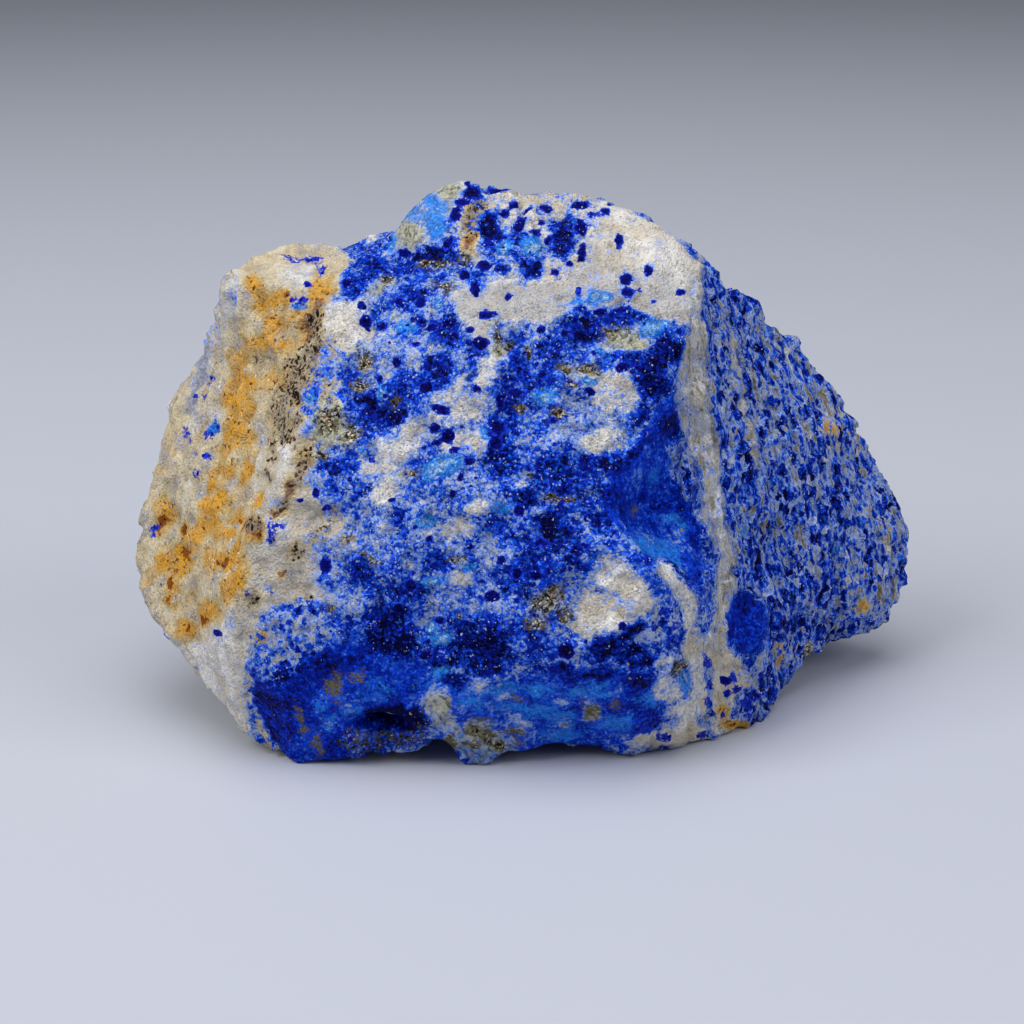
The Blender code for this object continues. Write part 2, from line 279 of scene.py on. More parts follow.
lay(spots(BLUE_AREAS, 0.6), BLUE)
DOME = [(640, 232, 40, 34, 30), (690, 275, 14, 24, -10), (600, 200, 14, 8, 20)]
lay(region(WHITE_TOP), CALCITE, clean=0.35, grey=0.62)
lay(spots(DOME, 0.8), grey=0.0, clean=0.5)
lay(spots(WHITE_PATCHES, 0.5), CALCITE, lazurite=0.08, grey=0.33)

# The crest. Above the white band the rock is beige and white, spotted with dark blue crystals,
# and its left end is a pale, see-through azure flake.
CREST = [(455, 175), (600, 190), (590, 262), (560, 280), (500, 284), (470, 262), (455, 220)]
CREST_BLUE = [
    (473, 193, 8, 7), (497, 190, 11, 4), (462, 203, 8, 5), (514, 206, 6, 4), (505, 213, 5, 4),
    (519, 226, 5, 10, 20), (546, 208, 7, 4), (581, 227, 6, 8), (583, 250, 5, 10), (580, 206, 10, 5),
    (484, 266, 8, 7), (555, 272, 5, 4), (475, 288, 5, 9), (488, 314, 9, 5), (508, 295, 5, 4),
    (578, 290, 4), (605, 213, 6, 4), (619, 240, 4, 8), (626, 279, 6, 7), (628, 293, 6, 5),
    (648, 272, 5), (680, 294, 5, 4), (612, 203, 5, 3), (592, 216, 4, 3), (536, 232, 5, 6),
    (548, 240, 5, 4), (570, 262, 5, 4), (542, 222, 4, 3), (527, 212, 3), (480, 206, 4, 3),
    (640, 288, 3, 4), (655, 300, 3),
]
CREST_CLUSTERS = [
    (490, 228, 12, 15), (562, 228, 13), (560, 249, 12, 8), (495, 245, 15, 13), (522, 247, 21, 13),
    (533, 264, 12, 11), (500, 268, 11, 8), (474, 194, 8, 7),
]
CREST_BROWN = [(470, 228, 8, 22, 8), (466, 244, 6, 12), (478, 210, 10, 8)]
FLAKE = [
    (383, 258), (395, 228), (430, 188), (462, 180), (458, 205), (442, 225), (440, 250), (410, 256),
]
lay(region(CREST), CALCITE, lazurite=0.2, stain=0.1)
lay(spots(CREST_BROWN, 0.8), stain=0.45, pepper=0.5)
lay(spots(CREST_BLUE, 0.8), lazurite=0.6)
lay(spots(CREST_CLUSTERS, 0.7), CLUSTERED, lazurite=0.94)
lay(region(FLAKE), CALCITE, lazurite=0.12, azure=0.5, diopside=0.2, clean=0.8)

# Navy crystals. Where lazurite grew largest it is almost black blue, in single crystals of one
# to two millimetres and in clusters and chains of them.
share["crystal"] -= FRAME  # no point is near a crystal yet


def grow(marks, deepest=FRAME):
    """Notes how far inside its nearest crystal each point lies, in pixels, and below 0 outside.
    Crystals that are kept shallower than a pixel break up into crumbs."""
    for half, far in ovals(marks, crystal_across, crystal_down):
        share["crystal"] = np.maximum(share["crystal"], np.minimum((1.0 - far) * half, deepest))


NAVY_CRYSTALS = [
    (348, 283, 6, 5), (362, 307, 5, 4), (366, 321, 6, 8), (381, 326, 6, 4), (421, 303, 6),
    (432, 327, 8, 5, -10), (449, 324, 7, 5, -10), (453, 336, 7, 5), (420, 320, 4, 5),
    (400, 303, 6, 5), (480, 343, 9, 7), (425, 388, 7, 8), (440, 409, 10, 5, 20), (434, 427, 6, 5),
    (448, 436, 8), (437, 443, 6, 4), (454, 450, 7, 4), (470, 461, 6, 5), (461, 476, 4, 6),
    (424, 447, 4, 3), (500, 402, 5, 9), (497, 427, 8, 7), (496, 443, 7, 8), (478, 388, 5),
    (316, 493, 5), (327, 507, 5, 4), (378, 378, 5, 4), (525, 372, 5), (540, 382, 4, 3),
    (503, 456, 6, 4), (622, 368, 8, 6), (566, 332, 5, 6), (600, 312, 8, 4), (622, 309, 8, 4),
    (519, 511, 6), (574, 522, 5, 4), (543, 543, 8, 5), (517, 573, 8, 7), (535, 575, 7, 6),
    (425, 655, 8, 6), (566, 651, 9), (622, 626, 5), (325, 566, 6, 9), (412, 585, 7),
    (492, 596, 9, 6), (590, 392, 6, 4), (515, 393, 9, 5), (308, 285, 5, 4), (467, 183, 4, 3),
    (405, 253, 8, 5), (448, 244, 5, 9, 20), (455, 214, 6, 8), (465, 274, 6, 5),
    (519, 228, 5, 9, 20), (475, 290, 5, 7), (488, 314, 7, 4), (628, 293, 5, 4), (725, 680, 5),
    (735, 688, 4, 5), (727, 694, 4), (218, 633, 4), (300, 500, 4, 3), (372, 458, 4),
    (392, 500, 4, 3), (430, 540, 5, 4), (470, 545, 5, 4), (452, 494, 4), (416, 345, 5, 4),
    (398, 362, 5), (470, 330, 5, 4), (540, 330, 5), (552, 420, 5, 4), (585, 545, 5, 4),
    (500, 560, 5), (598, 590, 3), (440, 620, 6, 5),
]
NAVY_CLUSTERS = [
    (436, 368, 13, 11), (374, 404, 17, 10, 10), (395, 416, 10, 8), (600, 465, 21, 8, 3),
    (643, 370, 12, 14), (652, 388, 12), (641, 410, 8, 12, 20), (657, 362, 10, 8),
    (672, 350, 10, 12), (583, 334, 10, 12), (526, 499, 11, 9), (551, 531, 14, 9),
    (392, 624, 20, 18), (398, 645, 17, 14), (480, 644, 26, 13), (490, 662, 15, 13),
    (604, 650, 16, 11), (638, 638, 13), (356, 576, 12, 7, 20), (640, 660, 30, 6, 5),
    (560, 668, 16, 5), (430, 256, 18, 7, -5), (562, 236, 11, 18), (490, 232, 10, 14),
]
BLUE_CLUSTERS = [
    (565, 560, 26, 16), (445, 650, 34, 14), (600, 520, 20, 8, 30), (648, 378, 24, 32),
    (392, 632, 28, 30), (482, 650, 36, 24), (640, 645, 34, 18), (436, 372, 18, 16),
    (545, 525, 28, 20), (600, 465, 28, 12), (500, 430, 13, 40), (590, 325, 22, 18),
    (328, 470, 14, 17), (380, 408, 30, 20, 15), (430, 252, 28, 12, -5), (356, 285, 12, 8),
    (640, 480, 8, 6), (700, 355, 5, 12), (350, 575, 18, 12), (410, 300, 24, 12), (445, 330, 20, 12),
    (520, 575, 20, 10),
]
lay(spots(BLUE_CLUSTERS, 0.9), CLUSTERED)
lay(spots(NAVY_CLUSTERS, 0.6), CLUSTERED, lazurite=1.06)
WHITE_WEDGE = [(616, 392, 23, 17, 30), (628, 402, 12, 14), (604, 440, 18, 10)]
lay(spots(WHITE_WEDGE, 0.5), CALCITE, lazurite=0.06, grey=0.1)
MILKY = [
    (379, 289, 15, 8), (433, 306, 14, 9), (393, 318, 13, 6), (354, 348, 13, 6, -20),
    (404, 344, 12, 7), (424, 284, 12, 5), (388, 372, 8, 6), (416, 362, 9, 6),
]
lay(spots(MILKY, 0.9), lazurite=0.34, grey=0.35, diopside=0.4)
grow(NAVY_CRYSTALS + CREST_BLUE)

# Azure. Thin lazurite over white calcite lets light back through, and looks sky blue.
AZURE = [
    (433, 200, 7, 10), (436, 222, 8, 16), (412, 216, 8, 11, 40), (392, 244, 6, 9), (428, 232, 6, 8),
    (403, 328, 11, 6), (437, 306, 6), (382, 392, 7, 8), (442, 466, 24, 10, -12), (428, 476, 10, 7),
    (425, 522, 12, 8), (362, 450, 6, 4), (600, 297, 14, 7), (575, 301, 7, 5), (650, 330, 14, 7),
    (605, 345, 12, 6), (505, 249, 9, 8), (532, 246, 12, 10), (660, 322, 10, 5), (486, 434, 5),
    (588, 383, 10, 6), (545, 395, 16, 8), (440, 640, 12, 8), (432, 628, 6), (440, 675, 22, 6),
    (320, 704, 10, 8, 30), (410, 686, 24, 6), (370, 700, 20, 5, -10), (430, 585, 10, 4),
    (360, 705, 14, 5), (310, 400, 8, 4), (304, 434, 7, 5), (310, 618, 8), (290, 302, 8, 5),
]
LOW_AZURE = [
    (500, 510, 12, 6), (688, 682, 5, 14, 12), (652, 548, 26, 8, 22), (668, 520, 14, 8),
    (515, 706, 26, 8), (560, 720, 16, 8), (480, 690, 14, 6), (610, 725, 22, 7), (470, 568, 8, 4),
    (445, 578, 8, 5), (690, 665, 5, 10, 10), (672, 560, 18, 4, 35), (540, 690, 20, 6),
    (598, 682, 20, 5),
]
RIND_AZURE = [(213, 428, 5, 9, 20), (240, 261, 14, 3), (300, 304, 7, 6)]
lay(spots(AZURE + LOW_AZURE, 0.8), azure=1.0, lazurite=0.5)
lay(0.5 * region(FLAKE), azure=0.56, diopside=0.4, grey=0.6, pepper=0.3)

# Diopside. Grey-green to olive grains, brown where they have weathered, in small clusters.
DIOPSIDE = [
    (365, 362, 13, 12, 30), (358, 385, 12, 8), (328, 420, 20, 16), (350, 435, 12, 14),
    (445, 287, 13, 8), (463, 258, 7, 9), (386, 279, 8, 5), (425, 266, 15, 6), (497, 338, 6, 18),
    (509, 345, 5, 8), (529, 354, 4, 10), (566, 368, 10, 8), (588, 368, 16, 7), (570, 384, 9, 6),
    (560, 412, 13, 8), (520, 410, 9, 6), (616, 334, 18, 10), (632, 345, 16, 8), (394, 403, 7, 5),
    (410, 474, 12, 5), (527, 475, 6, 5), (338, 692, 9, 15), (357, 676, 9, 8), (272, 450, 6, 15),
    (268, 476, 6, 10), (288, 438, 10, 7), (295, 453, 8, 5), (284, 468, 4, 6), (297, 552, 9, 8),
    (316, 604, 8, 14), (330, 608, 6, 10), (370, 560, 16, 6, 20), (440, 265, 14, 6),
    (320, 455, 10, 6),
]
LOW_DIOPSIDE = [
    (560, 497, 16, 6), (548, 600, 16, 12, -30), (534, 622, 12, 7, 20), (566, 616, 12, 9, 40),
    (436, 712, 16, 13), (462, 738, 14, 12), (500, 740, 22, 10), (593, 712, 10), (615, 705, 8, 4),
    (634, 512, 5), (460, 618, 6, 5), (510, 700, 18, 4), (480, 720, 12, 6), (458, 560, 8, 4),
    (808, 648, 8, 14), (805, 590, 7, 30, -5), (766, 560, 6, 30), (770, 495, 6, 14),
    (680, 668, 14, 9), (552, 588, 8, 5),
]
lay(spots(DIOPSIDE + LOW_DIOPSIDE, 1.0), diopside=0.84, azure=0.0)
PALE_DIOPSIDE = [(410, 236, 14, 10), (450, 190, 16, 6), (470, 686, 9, 6), (630, 342, 18, 9)]
lay(spots(PALE_DIOPSIDE, 0.6), CALCITE, diopside=0.45, lazurite=0.1, clean=0.5)

# Clean breaks. In three places the rock parted along a smooth, waxy plane of pure lazurite: the
# hollow at the right, the foot at the left, and the band between them under the knuckle.
CLEAN_BLUE = {**BLUE, "clean": 0.9}
HOLLOW = [
    (684, 385), (690, 425), (668, 440), (674, 482), (694, 500), (704, 560), (702, 592), (642, 545),
    (602, 518), (602, 500), (616, 470), (640, 438), (664, 402),
]
HOLLOW_RIM = [(688, 470, 9, 32)]
HOLLOW_DEEP_BLUE_AND_SHADE = [(612, 500, 8, 12, 30), (628, 462, 6, 22, 35), (668, 424, 8, 20, 25)]
HOLLOW_LIGHTS = [
    (660, 545, 34, 12, 24), (640, 508, 7, 5), (655, 475, 8, 20, 20), (680, 530, 10, 16),
]
LEFT_FOOT = [
    (246, 668), (275, 690), (300, 668), (345, 640), (385, 655), (430, 668), (430, 700), (372, 720),
    (425, 738), (350, 762), (290, 776), (262, 758), (250, 722),
]
LOWER_BAND = [
    (400, 672), (470, 688), (560, 670), (650, 672), (668, 702), (650, 738), (600, 748), (512, 756),
    (470, 768), (440, 735), (420, 700),
]
LEFT_SPECKLES = [(250, 650), (262, 612), (310, 598), (340, 640), (300, 672), (275, 692), (250, 680)]
LEFT_FRINGE = [(272, 655, 20, 12, -30), (300, 628, 24, 14), (262, 630, 12, 14)]
FOOT_AZURE = [
    (320, 704, 10, 9, 30), (350, 710, 16, 8, -10), (372, 698, 22, 6, -12), (330, 722, 8, 10),
]
FOOT_OLIVE = [(336, 690, 9, 15), (357, 676, 9, 8), (300, 722, 4, 16, -15), (318, 744, 5, 14, -10)]
FOOT_LIGHT = [(380, 686, 46, 17, -10), (355, 735, 20, 10), (312, 742, 16, 18), (395, 665, 26, 8)]
FOOT_DARK = [(275, 720, 16, 34, -15), (320, 668, 30, 12, -10), (290, 700, 16, 14)]
FOOT_EDGE = [(247, 676, 4), (251, 702, 4), (260, 736, 5), (276, 762, 5)]
TOE_CAP = [(345, 728), (400, 730), (428, 722), (428, 745), (395, 750), (352, 760), (338, 745)]
SLOT_SHADOW = [(392, 714, 24, 6, -8), (412, 722, 12, 7)]
LOBE_CRACKS = [
    (482, 733, 12, 6, 10), (470, 745, 8, 3), (496, 746, 9, 4, 30), (446, 706, 3, 12, 10),
    (432, 694, 10, 2, -10), (450, 742, 3, 8, -30), (515, 728, 9, 3, 30),
]
LOBE = [(452, 728), (478, 718), (512, 738), (514, 752), (476, 768), (455, 752)]
OLIVE_ROCK = [(434, 708, 13, 19), (446, 722, 10, 8)]
BAND_AZURE = [
    (500, 690, 26, 9), (540, 712, 30, 8, 5), (590, 694, 26, 7), (470, 702, 16, 8),
    (620, 722, 28, 8), (560, 735, 24, 6), (440, 684, 18, 6), (650, 700, 10, 16),
]
BAND_PALE = [(560, 702, 12, 4, 10), (523, 722, 12, 4, 20), (478, 686, 7, 6), (500, 700, 10, 3)]
BAND_DARK = [(640, 685, 18, 8), (600, 676, 26, 5), (455, 680, 16, 5), (648, 722, 12)]
BAND_BROWN = [(480, 738, 10, 6), (593, 712, 8), (565, 726, 6, 4)]
lay(region(LEFT_SPECKLES, 9.0), MOTTLED, lazurite=0.64, speckled=1.0, grey=0.5)
lay(spots(LEFT_FRINGE, 0.8), lazurite=0.44, grey=0.5)
lay(region(LEFT_FOOT, 8.0), CLEAN_BLUE, lazurite=0.86)
lay(region(LOWER_BAND, 8.0), CLEAN_BLUE, lazurite=0.76, azure=0.3)
lay(region(HOLLOW, 3.0), CLEAN_BLUE, lazurite=0.78)
# Along the hollow's rim the blue is deeper: dark lazurite, and partly painted shade under the rim
# that overhangs it.
lay(spots(HOLLOW_DEEP_BLUE_AND_SHADE, 0.8), lazurite=0.94)
lay(spots(HOLLOW_LIGHTS, 0.8), azure=0.55, lazurite=0.68)
lay(spots(HOLLOW_RIM), SPECKLED, lazurite=0.62)
lay(spots(FOOT_AZURE + BAND_AZURE + LOW_AZURE, 0.8), azure=0.68, lazurite=0.66)
lay(spots(BAND_DARK, 0.8), lazurite=0.92, azure=0.0)
lay(spots(FOOT_LIGHT, 0.9), azure=0.45, lazurite=0.7)
lay(spots(FOOT_DARK, 0.9), azure=0.0, lazurite=0.92)
lay(spots(FOOT_OLIVE + LOW_DIOPSIDE, 0.9), diopside=0.72, azure=0.1)
lay(spots(BAND_PALE, 0.8), CLEAN_BLUE, lazurite=0.34, diopside=0.1, azure=0.3)
lay(ribbon(FOOT_EDGE, 0.6), CALCITE, lazurite=0.5, speckled=0.8, stain=0.2)
lay(region(TOE_CAP, 3.0), BLUE, diopside=0.55, azure=0.4, lazurite=0.8)
lay(region(LOBE, 4.0), VEIN, lazurite=0.34, diopside=0.4, azure=0.5, grey=0.4, clean=0.4)
lay(spots(LOBE_CRACKS, 0.8), pepper=0.7, diopside=0.9, lazurite=0.1, azure=0.0, grey=0.6)
lay(spots(OLIVE_ROCK, 0.6), VEIN, lazurite=0.16, diopside=0.35, grey=0.4, clean=0.5)
lay(spots(BAND_BROWN, 0.6), diopside=0.6, pepper=0.9, lazurite=0.1)
# The slit under the foot is painted almost black: painted shadow in the slot.
lay(spots(SLOT_SHADOW, 0.5), CLUSTERED, lazurite=1.3, speckled=0.0, clean=0.6)

# The knuckle and the toe. White calcite with dark crystals, cut off above by a bright edge that
# is combed into fine blue threads, and ending below in a beige toe with blue flecks.
KNUCKLE = [(630, 590, 26, 16, 45), (608, 612, 28, 18), (645, 605, 14, 12)]
KNUCKLE_SPECKLES = [(667, 622, 16, 20, 20), (655, 640, 18, 10), (676, 605, 8, 10)]
COMB = [(612, 540, 4), (640, 560, 6), (656, 582, 8), (668, 598, 6)]
KNUCKLE_VEIN = [(660, 568, 5), (684, 594, 8), (692, 622, 8), (694, 655, 9), (700, 700, 8)]
BLUE_THREAD = [(664, 563, 4), (686, 576, 4), (702, 592, 4)]
TOE_LINE = [(706, 655, 3), (711, 690, 4), (708, 722, 4), (712, 742, 3)]
TOE_WHITES = [(664, 662, 9), (668, 690, 12, 10), (682, 712, 16, 12)]
TOE_CREAM = [(690, 738, 28, 14), (655, 742, 30, 6, 5), (715, 700, 16, 22), (722, 660, 12, 18, 20)]
TOE_VEIN = [(712, 640, 7), (730, 665, 16), (745, 690, 14)]
TOE_BLUE = [(750, 702, 12, 14, 20), (752, 724, 10, 12), (764, 706, 8, 16)]
TOE_AZURE = [(686, 680, 5, 14, 12)]
TOE_RUST = [(732, 726, 16, 6), (722, 712, 8)]
lay(spots(KNUCKLE), CALCITE, grey=0.1, clean=0.2)
lay(spots(KNUCKLE_SPECKLES), CALCITE, lazurite=0.56, speckled=1.0)
lay(ribbon(COMB), BLUE, lazurite=0.62, clean=0.5)
lay(ribbon(KNUCKLE_VEIN), CALCITE, lazurite=0.14, layered=0.3)
lay(ribbon(BLUE_THREAD), BLUE)
lay(spots(TOE_WHITES, 0.7), CALCITE, lazurite=0.06)
lay(spots(TOE_CREAM), CALCITE, stain=0.1, clean=0.3)
lay(ribbon(TOE_VEIN), CALCITE, stain=0.12, layered=0.2)
lay(ribbon(TOE_LINE, 0.6), CALCITE, lazurite=0.62, speckled=0.8, layered=0.4)
lay(spots(TOE_AZURE, 0.7), azure=0.7, lazurite=0.5)
lay(spots(TOE_BLUE), SPECKLED, lazurite=0.66)
lay(spots(TOE_RUST), RIND, stain=0.75)
TOE_FLECKS = [
    (664, 612, 5, 6), (676, 625, 5), (656, 628, 5), (670, 640, 5, 4), (708, 662, 4, 7, 10),
    (710, 684, 4, 6), (707, 700, 4, 5), (712, 714, 4, 5), (703, 735, 6), (723, 716, 4, 3),
    (732, 677, 4, 5), (745, 703, 5), (755, 696, 5, 6), (748, 716, 5, 4), (664, 738, 8, 4),
    (640, 730, 10, 5), (725, 680, 4), (738, 689, 4),
]
grow(TOE_FLECKS, deepest=0.6)

# The layered flank. Upright layers, each a blue-grained sheet a few millimetres thick, stand
# behind a pale vein. The grains are drawn out along the layers.
FLANK = [
    (700, 255), (760, 285), (806, 335), (915, 480), (920, 560), (885, 645), (800, 665), (765, 712),
    (742, 660), (722, 600), (722, 520), (712, 440), (706, 400), (712, 340),
]
PALE_VEIN = [
    (698, 290, 12), (702, 330, 12), (694, 370, 13), (694, 412, 17), (702, 440, 13), (712, 468, 11),
    (712, 500, 9), (722, 530, 9), (729, 562, 8), (724, 600, 9), (718, 640, 8),
]
SEAM = [(720, 298, 2), (732, 330, 3), (738, 368, 4), (744, 405, 3), (752, 442, 4), (757, 465, 2)]
PALE_BLOTCHES = [
    (787, 350, 12, 6, 20), (806, 420, 8, 12), (832, 412, 8, 9), (856, 575, 9, 11), (885, 610, 16),
    (872, 625, 18, 10), (868, 445, 6, 16), (885, 545, 7, 18), (800, 530, 5, 22), (838, 520, 6, 10),
    (850, 460, 7, 12), (765, 470, 6, 10), (818, 388, 10, 6, 40), (870, 510, 7, 9),
    (780, 590, 5, 20), (860, 600, 8, 14),
]
DENSE_BLOTCHES = [
    (740, 320, 12, 24), (755, 355, 7, 12), (750, 570, 14, 34), (820, 590, 18, 12),
    (735, 440, 12, 20), (790, 570, 14, 24), (745, 390, 8, 14), (785, 450, 6, 16),
    (745, 500, 12, 14), (845, 540, 8, 20), (830, 480, 10, 12), (790, 620, 14),
]
DENSE_FLANK = [(760, 560, 40, 90), (800, 630, 30, 20)]
FLANK_THREAD = [(706, 275, 4), (707, 310, 4), (712, 350, 4), (715, 372, 5)]
FLANK_AZURE = [(790, 430, 5, 12), (836, 545, 5, 12), (770, 330, 5, 8), (745, 530, 5, 10)]
FLANK_RUST = [(830, 428, 4, 8), (862, 606, 4, 6), (782, 655, 3, 10)]
FLANK_OLIVE = [(808, 650, 7, 12)]
CAVITY = [(748, 622, 21, 32, -8)]
lay(region(FLANK, 3.0), SPECKLED)
lay(spots(PALE_BLOTCHES, 0.7), lazurite=0.38)
lay(spots(DENSE_BLOTCHES, 0.7), lazurite=0.72)
lay(spots(DENSE_FLANK, 0.6), lazurite=0.7)
lay(ribbon(PALE_VEIN, 0.4), VEIN)
lay(ribbon(SEAM, 0.5), VEIN, lazurite=0.2, stain=0.1, pepper=0.4)
lay(ribbon(FLANK_THREAD), SPECKLED, lazurite=0.7)
lay(spots(FLANK_AZURE, 0.6), azure=0.6)
lay(spots(FLANK_RUST, 0.7), stain=0.75, pepper=0.4, lazurite=0.1)
lay(spots(FLANK_OLIVE, 0.5), diopside=0.9, lazurite=0.2)
lay(spots(CAVITY, 0.2), CLEAN_BLUE, lazurite=0.84)

# The rind. The left face is an old joint, open to water for ages before the rock was quarried,
# so its calcite is cream and streaked with ochre, rust and dark brown iron oxide.
RIND_FACE = [
    (210, 250), (300, 236), (352, 256), (332, 300), (322, 345), (300, 400), (264, 440), (252, 480),
    (266, 520), (250, 545), (242, 600), (215, 640), (190, 652), (120, 600), (120, 500), (170, 380),
    (200, 300),
]
PALE_SKIN = [
    (264, 440), (300, 405), (312, 440), (318, 485), (322, 520), (346, 522), (322, 545), (318, 580),
    (344, 600), (300, 600), (262, 612), (250, 650), (243, 672), (246, 720), (262, 762), (225, 745),
    (150, 640), (190, 652), (215, 640), (242, 600), (250, 545), (266, 520), (252, 480),
]
OCHRE = [
    (255, 285, 6, 9), (272, 325, 7, 10), (262, 345, 16, 8), (236, 358, 7, 9), (237, 376, 7, 8),
    (246, 385, 14, 8), (246, 412, 7, 9), (242, 435, 9, 14, 10), (229, 449, 6, 10, 20),
    (225, 472, 8, 9), (212, 482, 5, 11, 10), (222, 500, 8, 10), (208, 508, 7, 10), (204, 526, 8),
    (195, 537, 9), (238, 517, 6), (252, 530, 9, 10), (183, 560, 9, 14), (165, 562, 7, 12),
    (228, 562, 15, 10), (231, 590, 7, 11, 20), (207, 612, 10, 9), (188, 630, 11, 8),
    (172, 592, 7, 12), (310, 318, 10, 14, 20), (322, 284, 9, 12, 20), (318, 300, 8),
    (285, 345, 12, 8), (280, 300, 8), (262, 300, 8, 14), (165, 510, 8, 10), (285, 510, 5, 4),
    (258, 500, 6), (250, 470, 6, 12), (215, 560, 12), (240, 580, 6, 14), (235, 400, 14, 10),
    (300, 338, 8), (270, 380, 10), (232, 425, 6, 18, 10), (215, 520, 6, 16), (226, 535, 10, 6),
    (238, 548, 6, 10),
]
RUST = [
    (310, 322, 7, 12, 30), (318, 306, 5, 7, 30), (162, 524, 7, 9), (185, 530, 4, 7),
    (186, 550, 4, 10), (252, 526, 7), (257, 536, 4, 6), (226, 563, 8, 5), (228, 556, 4, 5),
    (308, 338, 7), (288, 295, 4), (240, 520, 4), (205, 618, 5, 6), (190, 628, 4, 6),
    (172, 585, 5, 7), (167, 598, 4, 6), (468, 243, 4, 11, 30), (488, 751, 9, 4, 5),
    (730, 724, 8, 3), (593, 712, 6, 5), (291, 489, 5, 9), (284, 573, 4), (274, 513, 6, 4),
    (176, 572, 3, 6),
]
PEPPERED = [
    (315, 345, 12, 10), (300, 372, 18, 14), (292, 392, 18, 12), (318, 382, 12, 10),
    (280, 420, 10, 16), (355, 330, 10, 6), (345, 298, 10, 8), (330, 350, 14, 8), (290, 440, 12, 10),
    (282, 505, 8), (255, 525, 8, 12), (480, 215, 18, 20), (470, 225, 8, 20), (365, 366, 11, 12),
    (565, 606, 14, 10), (318, 422, 6, 7), (306, 472, 9, 18), (325, 440, 8, 14), (316, 318, 12, 16),
]
BLUE_FLECKS = [
    (211, 380, 4, 8, 10), (201, 397, 6, 3), (206, 436, 6), (207, 456, 5), (197, 473, 4, 5),
    (188, 435, 3, 9), (154, 530, 5, 9, 10), (291, 258, 8, 3, 8), (313, 260, 10, 3, 14),
    (320, 268, 4, 5), (300, 300, 9, 5), (272, 528, 6, 10), (283, 526, 4), (270, 542, 7, 3),
    (271, 594, 4), (248, 593, 5), (240, 261, 12, 3), (193, 454, 3, 4),
]
PALE_FOOT = [(214, 682, 26, 40, -20)]
GREY_STREAK = [(221, 268, 6), (213, 300, 6), (208, 340, 6), (198, 380, 5), (190, 410, 6)]
SLATE = [(230, 300, 10, 34, 10), (215, 350, 10, 30, 15), (215, 412, 9, 14), (196, 420, 6, 14, 10)]
GREY_PATCHES = [
    (292, 320, 8, 12), (238, 326, 6, 8), (305, 378, 8, 6), (222, 280, 6, 8), (298, 578, 18, 20),
]
LILAC_PATCHES = [(300, 275, 20, 12), (285, 440, 12, 24), (276, 532, 14, 16), (222, 640, 12, 24, 20)]
WHITE_LEDGE = [(355, 325, 14), (340, 330, 14, 20)]
MARGIN = [
    (323, 352, 14), (326, 388, 10, 24), (324, 436, 18, 16), (334, 512, 16, 14), (322, 535, 14),
    (345, 538, 14, 8),
]
MARGIN_BLUE = [
    (332, 366, 16, 10, -30), (312, 398, 8), (330, 566, 14, 22), (340, 590, 18, 12),
    (316, 478, 8, 14), (310, 430, 6, 8),
]
BROWN_GROUND = [
    (318, 350, 26, 20), (298, 385, 26, 26, 20), (282, 420, 18, 20), (325, 415, 18, 22),
    (295, 330, 16, 12), (262, 360, 14), (306, 462, 11, 24), (322, 372, 14, 18),
]
BROWN_SPECKS = [
    (268, 476, 5, 9), (291, 489, 5, 9), (284, 573, 4), (274, 513, 6, 4), (296, 552, 8),
    (272, 450, 5, 14), (288, 438, 8, 6), (310, 600, 6), (300, 420, 6), (252, 600, 10, 8),
    (262, 640, 8, 10),
]
lay(region(PALE_SKIN), CALCITE, grey=0.55, stain=0.08, pepper=0.14, lazurite=0.02, clean=0.4)
lay(region(RIND_FACE, 6.0), RIND)
lay(spots(PALE_FOOT, 0.5), CALCITE, clean=0.5)
lay(spots(SLATE, 0.7), grey=0.45, stain=0.06, lazurite=0.12)
lay(ribbon(GREY_STREAK, 0.6), grey=0.9, stain=0.0, lazurite=0.14)
lay(spots(LILAC_PATCHES, 0.7), stain=0.0, grey=0.1, pepper=0.05, lazurite=0.1)
lay(spots(GREY_PATCHES), grey=0.9)
lay(spots(RIND_AZURE, 0.5), BLUE, azure=0.7, lazurite=0.66)
lay(spots(OCHRE, 0.9), stain=0.8, lazurite=0.0)
lay(spots(BROWN_GROUND, 0.7), pepper=0.55, stain=0.3, grey=0.2)
lay(spots(RUST, 0.6), stain=0.9, rust=0.9, lazurite=0.0)
lay(spots(PEPPERED, 0.6), pepper=0.75)
lay(spots(BROWN_SPECKS, 0.7), pepper=0.8, stain=0.3)
lay(spots(WHITE_LEDGE, 0.6), CALCITE, pepper=0.4)
lay(spots(MARGIN, 0.8), lazurite=0.2, pepper=0.76, stain=0.16, grey=0.6)
lay(spots(MARGIN_BLUE, 0.9), lazurite=0.5, pepper=0.5, stain=0.0, grey=0.55)
grow(BLUE_FLECKS, deepest=0.25)

# Each point keeps its shares: those that were read on the side that was photographed, and its
# layer's behind.
CRYSTAL_REACH = 8.0  # pixels of depth at which a crystal is at its darkest
share["crystal"] = np.clip(share["crystal"] / CRYSTAL_REACH, -1.0, 1.0)
behind["crystal"] = np.full(len(places), -1.0)
for name, values in share.items():
    values += (1.0 - seen) * (behind[name] - values)
    stone.data.attributes.new(name, "FLOAT", "POINT").data.foreach_set("value", values)

# The broken surface. Calcite and lazurite break grain by grain, which leaves a sugary skin with
# pits where grains fell out, and the layered flank breaks into thin upright ribs.
RELIEF_SIZES = {
    "Lump size": 5.0, "Lump height": 2.2, "Facet size": 2.6, "Facet slope": 0.5,
    "Grain size": 1.3, "Grain height": 0.7, "Rib width": 1.6, "Rib height": 1.4,
    "Pit spacing": 3.9, "Pit depth": 0.4,
}  # millimetres, but for the slope
RIB_STRETCH = 0.22  # a rib's width, as a share of its length
PIT_FLOOR, PIT_RIM = 0.10, 0.26  # shares of the pit spacing
CLEAN_LOSS = 0.85  # the share of the relief that a clean break is without
LAYER_ANGLE = math.atan(LAYER_LEAN)


